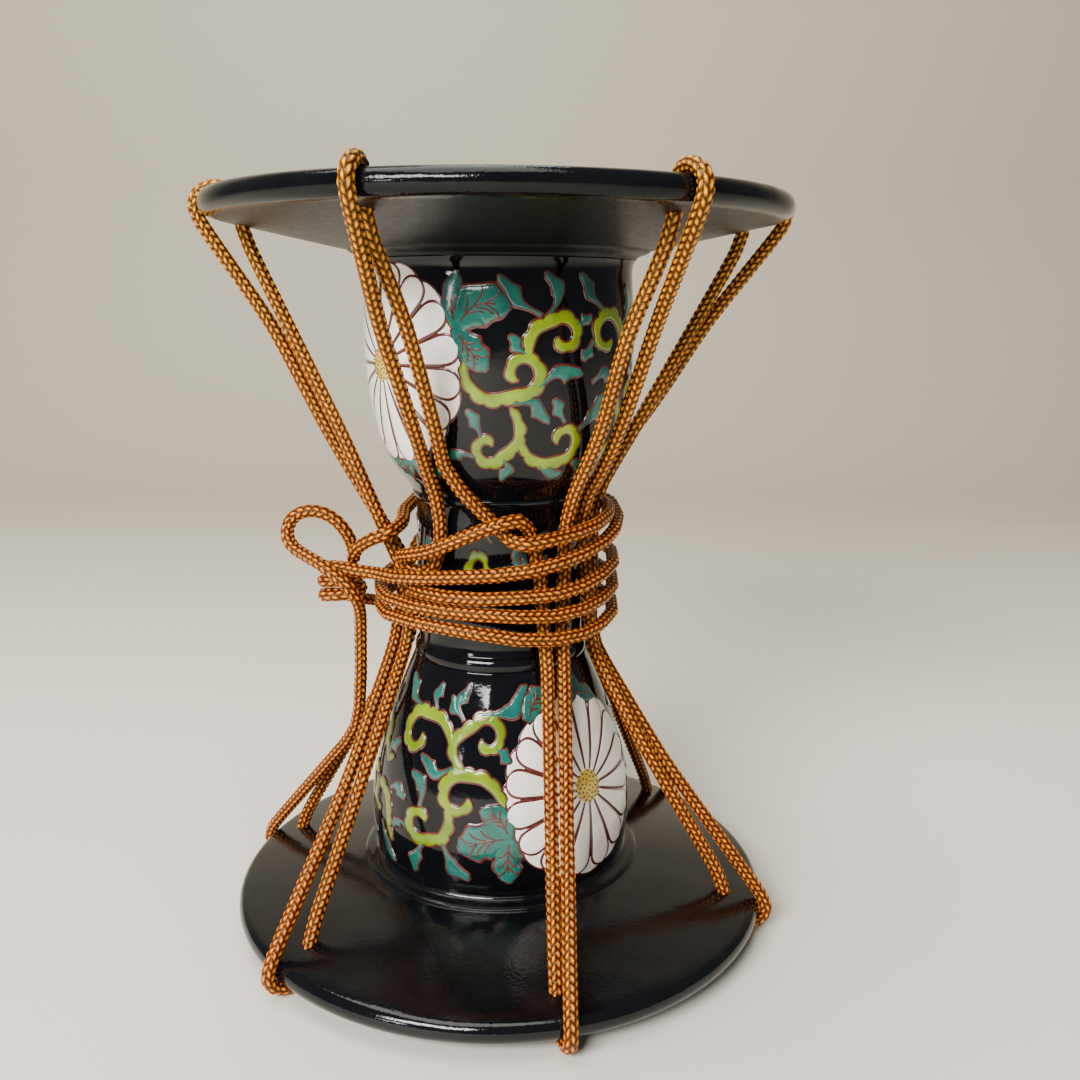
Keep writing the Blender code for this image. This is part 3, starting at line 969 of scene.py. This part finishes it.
def crossing_strand():
    """From the front left upper station across the waist's front, round its back and down to the left."""
    return [
        around(69.5, -21, 221.0),
        around(50.0, -21, 185.0),
        around(43.4, -24, 176.0),
        around(38.6, -17.5, 166.5),
        around(34.2, -8, 158.6),
        around(33.5, 1, 153.8),
        around(35.4, 7, 149.2),
        around(39.8, 14, 148.4),
        around(39.8, 25, 149.8),
        around(39.8, 42, 150.8),
        around(39.8, 60, 152.0),
        around(39.8, 78, 153.4),
        around(39.9, 94, 154.8),
        around(39.9, 112, 155.4),
        around(39.9, 135, 155.0),
        around(39.9, 158, 154.6),
        around(39.9, 180, 153.8),
        around(39.7, 200, 151.2),
        around(39.5, 220, 145.6),
        around(39.3, 238, 137.0),
        around(38.8, 252, 126.0),
        around(38.8, 260, 114.0),
        around(39.4, 265, 104.0),
    ]


def hooked_strand():
    """From the front left upper station, back over itself to the right, and down to the front station."""
    return [
        around(74.5, -26, 221.0),
        around(54.0, -27.5, 187.0),
        around(43.4, -32, 174.5),
        around(36.8, -34, 165.0),
        around(33.6, -35, 156.0),
        around(33.5, -35, 147.0),
        around(33.6, -38, 138.6),
        around(34.4, -47, 135.2),
        around(36.8, -62, 135.0),
        around(39.9, -61, 141.6),
        around(39.8, -48, 142.6),
        around(39.7, -36, 144.8),
        around(39.7, -26, 147.8),
        around(39.6, -16, 151.0),
        around(39.5, -6, 154.0),
        around(39.3, 4, 156.4),
        around(37.6, 12, 157.2),
        around(33.8, 18, 154.0),
        around(33.4, 22, 147.6),
        around(33.4, 25.5, 138.0),
        around(33.4, 29, 112.0),
        around(34.4, 30, 104.0),
    ]


# Each row is one bearing round the waist: the cord's distance from the axis, then its height on each turn
TURNS = (
    (-26, 39.6, 130.1, 124.9, 119.2),
    (-8, 39.6, 130.2, 125.0, 118.4),
    (12, 39.6, 130.9, 124.1, 116.0),
    (30, 39.6, 130.6, 123.1, 114.9),
    (47, 40.0, 131.8, 123.5, 114.6),
    (63, 40.8, 133.8, 125.0, 115.6),
    (80, 42.0, 135.6, 126.8, 117.4),
    (98, 42.2, 137.4, 128.6, 119.2),
    (120, 41.0, 138.8, 130.0, 120.6),
    (145, 40.0, 138.8, 130.0, 120.6),
    (172, 40.4, 136.8, 128.4, 118.6),
    (198, 43.2, 134.0, 126.0, 115.2),
    (222, 45.4, 131.0, 123.6, 111.6),
    (245, 45.4, 128.2, 121.2),
    (268, 45.4, 126.0, 119.4),
    (294, 43.8, 124.4, 118.4),
    (316, 40.8, 124.9, 119.4),
)


def turns_at_waist():
    """Three turns from under the topmost one, each below the last, that leave for the knot at the left."""
    path = [around(37.6, -57, 129.6), around(39.2, -42, 130.0)]
    for turn in range(3):
        for bearing, radius, *heights in TURNS:
            if turn < len(heights):
                path.append(around(radius, 360.0 * turn + bearing, heights[turn]))
    return path


KNOT = np.array([-57.5, -4.0, 0.0])
KNOT_HALF_WIDTH = 7.9
KNOT_HALF_DEPTH = 5.6
KNOT_BOTTOM = 121.0
KNOT_PITCH = 5.2


def point(x, y, z):
    return np.array([x, y, z], float)


def knot_coil(quarters):
    """A rising coil, flattened front to back, that starts at its rear and passes its left side first."""
    path = []
    for i in range(2 * quarters + 1):
        turn = pi / 4 * i
        height = KNOT_BOTTOM + KNOT_PITCH * i / 8
        path.append(KNOT + point(-KNOT_HALF_WIDTH * sin(turn), KNOT_HALF_DEPTH * cos(turn), height))
    return path


def waist_cord_path():
    """The turns, the knot's coil, the topmost turn, the bow and the tail down to the left lower station."""
    path = turns_at_waist()
    path += [point(-47.0, 19.0, 113.0), point(-51.8, 7.4, 117.6)]
    path += knot_coil(10)
    path += [
        point(-50.5, -12.8, 133.4),
        around(45.6, -70, 133.4),
        around(43.2, -54, 134.2),
        around(40.8, -38, 135.8),
        around(39.6, -20, 137.4),
        around(39.6, 0, 138.6),
        around(39.6, 16, 139.6),
        around(39.6, 32, 141.4),
        around(39.8, 48, 143.2),
        around(40.6, 64, 145.0),
        around(42.2, 80, 147.8),
        around(43.6, 96, 150.8),
        around(45.2, 112, 153.6),
        around(45.2, 130, 155.6),
        around(45.0, 150, 156.8),
        around(44.8, 172, 157.2),
        around(44.6, 194, 157.2),
        around(43.4, 216, 156.2),
        around(39.6, 236, 154.4),
        point(-36.4, 6.0, 151.6),
        point(-33.8, -7.0, 150.2),
        point(-37.6, -17.4, 148.0),
        point(-45.2, -15.6, 145.6),
        point(-50.4, -11.0, 141.8),
        point(-52.2, -8.4, 138.8),
        point(-52.6, -7.5, 136.7),
        point(-52.8, -5.4, 135.8),
        point(-53.0, -3.3, 136.7),
    ]
    path += bow_path()
    path += [
        point(-57.0, -15.3, 132.0),
        point(-52.9, -15.5, 128.0),
        point(-50.9, -13.7, 123.8),
        point(-50.6, -9.8, 119.8),
        point(-50.9, -6.0, 115.2),
        point(-51.4, -4.0, 109.0),
        point(-52.0, -2.0, 92.0),
        point(-54.6, 2.0, 68.0),
    ]
    path += station(lower_bearing(-2), upper=False, outwards=False)[:4]
    return path


def bow_path():
    """The single loop that stands up and out to the left, and its return across the knot's front."""
    return [
        point(-53.2, -2.4, 138.8),
        point(-54.0, -3.5, 142.8),
        point(-55.9, -4.7, 146.8),
        point(-58.7, -5.0, 150.3),
        point(-62.5, -5.0, 152.9),
        point(-67.0, -5.0, 153.9),
        point(-71.5, -5.0, 153.3),
        point(-74.9, -5.0, 150.9),
        point(-76.6, -5.0, 147.3),
        point(-76.7, -5.2, 143.5),
        point(-74.8, -6.0, 140.4),
        point(-71.0, -8.0, 138.6),
        point(-66.4, -11.4, 137.2),
        point(-61.6, -14.2, 135.2),
    ]


def rounded(points, corner):
    """A path's key points with each corner cut round, at most by the corner length on either side."""
    path = [points[0]]
    for before, at, after in zip(points, points[1:], points[2:]):
        into = at - before
        out = after - at
        into_length = np.linalg.norm(into)
        out_length = np.linalg.norm(out)
        enter = at - into / into_length * min(corner, into_length / 2)
        leave = at + out / out_length * min(corner, out_length / 2)
        if into_length > 2 * corner:
            path.append(enter)
        path.append((enter + 2 * at + leave) / 4)
        if out_length > 2 * corner:
            path.append(leave)
    path.append(points[-1])
    return np.array(path)


def settled(path):
    """A smooth line near a path: a cubic B-spline over evenly spaced points."""
    lengths = np.linalg.norm(np.diff(path, axis=0), axis=1).sum()
    knots = resampled(path, int(lengths / 2.0))
    knots = np.vstack([2 * knots[:1] - knots[1:2], knots, 2 * knots[-1:] - knots[-2:-1]])
    line = []
    for share in np.linspace(0.0, 1.0, 5, endpoint=False):
        weights = (
            (1 - share) ** 3 / 6,
            (3 * share**3 - 6 * share**2 + 4) / 6,
            (-3 * share**3 + 3 * share**2 + 3 * share + 1) / 6,
            share**3 / 6,
        )
        line.append(sum(w * knots[i : len(knots) - 3 + i] for i, w in enumerate(weights)))
    return np.stack(line, axis=1).reshape(-1, 3)


# The braid: columns round the cord with points across each, and points along each stitch's pitch
COLUMNS = 8
ROUND = 4
PITCH = 2.67
ALONG = 8
SLANT = 0.42
CORE = 1.72
RELIEF = 0.73


def frames(line):
    """Unit tangents and a sideways direction that turns as little as it can along a line."""
    tangents = np.gradient(line, axis=0)
    tangents /= np.linalg.norm(tangents, axis=1)[:, None]
    side = np.cross(tangents[0], (0.3, 0.5, 0.8))
    side /= np.linalg.norm(side)
    sides = [side]
    for i in range(1, len(line)):
        step = line[i] - line[i - 1]
        size = step @ step
        mirrored_side = sides[-1] - 2 / size * (step @ sides[-1]) * step
        mirrored_tangent = tangents[i - 1] - 2 / size * (step @ tangents[i - 1]) * step
        turn = tangents[i] - mirrored_tangent
        spread = turn @ turn
        if spread > 1e-14:
            mirrored_side = mirrored_side - 2 / spread * (turn @ mirrored_side) * turn
        sides.append(mirrored_side / np.linalg.norm(mirrored_side))
    return tangents, np.array(sides)


def braided(name, path, node, pieces, material, seed):
    """A round braid along a path: columns of slanting stitches, each half a stitch on from the next."""
    line = settled(rounded(path, CORD_CORNER))
    lengths = np.concatenate([[0.0], np.cumsum(np.linalg.norm(np.diff(line, axis=0), axis=1))])
    total = lengths[-1]
    line = resampled(line, int(total / 0.6))
    tangents, sides = frames(line)
    stations = np.linspace(0.0, total, len(line))

    around_count = COLUMNS * ROUND
    step = PITCH / ALONG
    rings = int((total - 2 * PITCH) / step)
    place = np.arange(around_count)
    column = place // ROUND
    x = (place % ROUND) / ROUND - 0.5
    zigzag = SLANT * np.where(column % 2 == 0, x, -x)
    ring = np.arange(rings)
    s = PITCH + step * ring[:, None] - PITCH * zigzag[None, :]
    strand = np.broadcast_to(ring[:, None] / ALONG, s.shape)
    cell = strand + 0.5 * (column % 2)[None, :]
    y = cell - np.floor(cell) - 0.5
    across = np.sqrt(np.maximum(0.0, 1 - (2 * x) ** 2 * 0.96))[None, :]
    along = np.maximum(0.0, 1 - np.abs(2 * y) ** 2.2) ** 0.6
    crest = across**0.7 * along
    # These values are painted light for the colour: a painted highlight along each stitch's crest and painted
    # shade in the crevices between stitches.
    painted_highlight_and_shade = np.cos(pi * x)[None, :] ** 1.1 * np.maximum(0.0, 1 - np.abs(2 * y) ** 1.8)
    random = np.random.default_rng(seed)
    tints = random.random((int(rings / ALONG) + 3, COLUMNS))
    tint = tints[np.floor(cell).astype(int), np.broadcast_to(column[None, :], s.shape)]
    swell = 1 + 0.012 * np.sin(s / 37.0 + seed) + 0.01 * np.sin(s / 11.0)
    radius = (CORE + RELIEF * crest) * swell
    twist = 0.35 * np.sin(s / 90.0 + seed) + s / 260.0
    turn = 2 * pi * (place / around_count)[None, :] + twist

    centre, side, tangent = (
        np.stack([np.interp(s, stations, values[:, i]) for i in range(3)], axis=-1)
        for values in (line, sides, tangents)
    )
    tangent /= np.linalg.norm(tangent, axis=-1)[..., None]
    side -= (side * tangent).sum(-1)[..., None] * tangent
    side /= np.linalg.norm(side, axis=-1)[..., None]
    other = np.cross(tangent, side)
    points = centre + radius[..., None] * (np.cos(turn)[..., None] * side + np.sin(turn)[..., None] * other)

    edges = np.linspace(0, rings, pieces + 1).astype(int)
    for i, (low, high) in enumerate(zip(edges, edges[1:])):
        high = min(high + 1, rings)
        shape = Shape()
        rows = points[low:high]
        # The crest attribute carries the painted highlight and shade from the values above.
        values = {
            "crest": painted_highlight_and_shade[low:high],
            "tint": tint[low:high],
            "strand": strand[low:high] - strand[low, 0],
        }
        if i == 0:
            rows, values = capped(rows, values, 0)
        if i == pieces - 1:
            rows, values = capped(rows, values, -1)
        shape.grid(rows, closed_round=True)
        flat = {key: np.asarray(value).reshape(-1) for key, value in values.items()}
        piece = shape.build(f"{name}_{i + 1}", material, "orange_cord", node, flat)
        ring_points = rows[len(rows) // 2]
        out = Vector(ring_points[1] - ring_points.mean(axis=0))
        if piece.data.polygons[len(piece.data.polygons) // 2].normal.dot(out) < 0:
            piece.data.flip_normals()


def capped(rows, values, end):
    """Closes one end of a cord with rings that shrink to its middle."""
    ring = rows[end]
    centre = ring.mean(axis=0)
    closing = [centre + (ring - centre) * share for share in (0.75, 0.4, 0.02)]
    if end == 0:
        rows = np.concatenate([np.array(closing[::-1]), rows])
        values = {
            key: np.concatenate([np.repeat(value[:1], 3, axis=0), value])
            for key, value in values.items()
        }
    else:
        rows = np.concatenate([rows, np.array(closing)])
        values = {
            key: np.concatenate([value, np.repeat(value[-1:], 3, axis=0)])
            for key, value in values.items()
        }
    return rows, values


# Drumheads


def drumheads(material):
    """Each head is a tight skin with a rolled edge."""
    middle = RING_HEIGHT - 1.3
    for name, base, up in (("lower_drumhead", middle, -1.0), ("upper_drumhead", TWIN_HEIGHTS - middle, 1.0)):
        outline = [(0.02, 0.55), (20.0, 0.5), (40.0, 0.42), (52.0, 0.3), (55.4, 0.3)]
        outline += [(56.0, 0.75), (57.2, 1.15), (58.8, 1.1), (60.0, 0.6)]
        outline += [(SKIN_RADIUS, 0.0), (59.8, -0.6), (56.5, -0.95), (30.0, -0.95), (0.02, -0.95)]
        rows = smooth_line(outline, 1.0)
        shape = Shape()
        profile = np.stack([np.maximum(rows[:, 0], 0.02), base + up * rows[:, 1]], axis=1)
        revolved(shape, profile, 144, closed=False)
        piece = shape.build(name + "_skin", material, "drum_skin", name)
        face_out(piece)


# Stage, light and camera


def stage():
    """A floor that curves up into a wall behind, pale in front and darker behind, the darkening being painted
    shade where the light falls off with distance.
    """
    made, shader, node, link = tree("pale_floor")
    cloudiness_and_painted_shade = node("ShaderNodeMath", operation="MULTIPLY_ADD")
    link(noise(node, link, 5.0, 5.0), cloudiness_and_painted_shade.inputs[0])
    cloudiness_and_painted_shade.inputs[1].default_value = 0.12
    # Painted shade: the colour darkens with distance behind the drum, over the back of the floor and up the
    # wall.
    link(span(node, link, place(node, link, "Y"), 0.0, 1.0, 0.15, 0.8), cloudiness_and_painted_shade.inputs[2])
    stops = [(0.05, (0.78, 0.74, 0.63)), (1.0, (0.52, 0.465, 0.36))]
    link(ramp(node, link, cloudiness_and_painted_shade.outputs[0], stops), shader.inputs["Base Color"])
    shader.inputs["Roughness"].default_value = 0.55
    side = 2500.0
    back = 900.0
    sweep = 400.0
    bends = [radians(turn) for turn in range(0, 91, 10)]
    rows = []
    for x in np.linspace(-side, side, 21):
        curve = [(x, -side, 0.0)]
        curve += [(x, back + sweep * sin(bend), sweep * (1 - cos(bend))) for bend in bends]
        curve += [(x, back + sweep, 2200.0)]
        rows.append(curve)
    rows = np.array(rows) * MM
    mesh = bpy.data.meshes.new("floor")
    n, m = rows.shape[:2]
    index = np.arange(n * m).reshape(n, m)
    quads = np.stack([index[:-1, :-1], index[1:, :-1], index[1:, 1:], index[:-1, 1:]], axis=-1).reshape(-1, 4)
    mesh.from_pydata(rows.reshape(-1, 3).tolist(), [], quads.tolist())
    mesh.shade_smooth()
    mesh.materials.append(made)
    floor = bpy.data.objects.new("floor", mesh)
    bpy.context.scene.collection.objects.link(floor)


def light(name, spot, target, size, power, colour):
    data = bpy.data.lights.new(name, "AREA")
    data.shape = "RECTANGLE"
    data.size, data.size_y = size
    data.energy = power
    data.color = colour
    lamp = bpy.data.objects.new(name, data)
    lamp.location = spot
    lamp.rotation_euler = (Vector(target) - Vector(spot)).to_track_quat("-Z", "Y").to_euler()
    bpy.context.scene.collection.objects.link(lamp)


def studio():
    world = bpy.data.worlds.new("studio")
    bpy.context.scene.world = world
    world.use_nodes = True
    sky = world.node_tree.nodes["Background"].inputs
    sky["Color"].default_value = (0.90, 0.93, 1.0, 1.0)
    sky["Strength"].default_value = 0.2
    light("overhead", (-0.3, -0.1, 1.9), (0.0, 0.0, 0.1), (1.8, 1.2), 36.0, (1.0, 0.96, 0.9))
    light("window", (-0.62, -1.2, 0.95), (0.0, 0.0, 0.2), (0.8, 0.42), 48.0, (0.98, 0.98, 0.98))
    light("low_window", (-0.95, -1.22, 0.36), (0.0, 0.0, 0.23), (0.16, 0.14), 2.2, (0.97, 0.98, 1.0))
    light("rear", (-0.06, 1.0, 1.7), (0.0, 0.0, 0.02), (0.5, 0.35), 3.0, (0.85, 0.93, 1.0))


def camera():
    """The photograph's viewpoint."""
    data = bpy.data.cameras.new("camera")
    data.sensor_width = 36.0
    data.lens = 36.15
    eye = bpy.data.objects.new("camera", data)
    eye.location = (0.01406, -0.38655, 0.2277)
    eye.rotation_euler = (radians(90.0 - 12.48), radians(-0.27), 0.0)
    bpy.context.scene.collection.objects.link(eye)
    bpy.context.scene.camera = eye


# Each enamel's colour, name, dark tone, light tone, roughness, grain and depth of its surface
ENAMELS = (
    ("white", "white_enamel", (0.84, 0.80, 0.71), (0.96, 0.92, 0.83), 0.2, 150.0, 0.00025),
    ("teal", "teal_enamel", (0.003, 0.062, 0.053), (0.011, 0.15, 0.112), 0.1, 110.0, 0.0003),
    ("lime", "lime_enamel", (0.11, 0.19, 0.001), (0.23, 0.33, 0.003), 0.12, 110.0, 0.0002),
    ("yellow", "yellow_enamel", (0.5, 0.31, 0.02), (0.76, 0.52, 0.05), 0.18, 300.0, 0.0002),
    ("line", "russet_line", (0.05, 0.010, 0.008), (0.12, 0.022, 0.015), 0.2, 260.0, 0.0001),
    ("dot", "umber_dot", (0.018, 0.010, 0.004), (0.04, 0.022, 0.009), 0.2, 260.0, 0.0001),
)


def main():
    turned_body(
        glaze_material("bowl_glaze", 0.05, 1.38, 700.0, 0.00002),
        glaze_material("lower_disc_glaze", 0.14, 1.42, 800.0, 0.00006, 0.08),
        glaze_material("upper_disc_glaze", 0.36, 1.3, 900.0, 0.00008, 0.06),
    )
    enamels = {}
    for colour, *values in ENAMELS:
        enamels[colour] = enamel_material(*values)
    decorate(enamels)
    silk = cord_material()
    braided("lacing_braid", lacing_path(), "lacing_cord", 5, silk, 3)
    braided("waist_braid", waist_cord_path(), "waist_cord", 2, silk, 8)
    drumheads(skin_material())
    stage()
    studio()
    camera()


main()
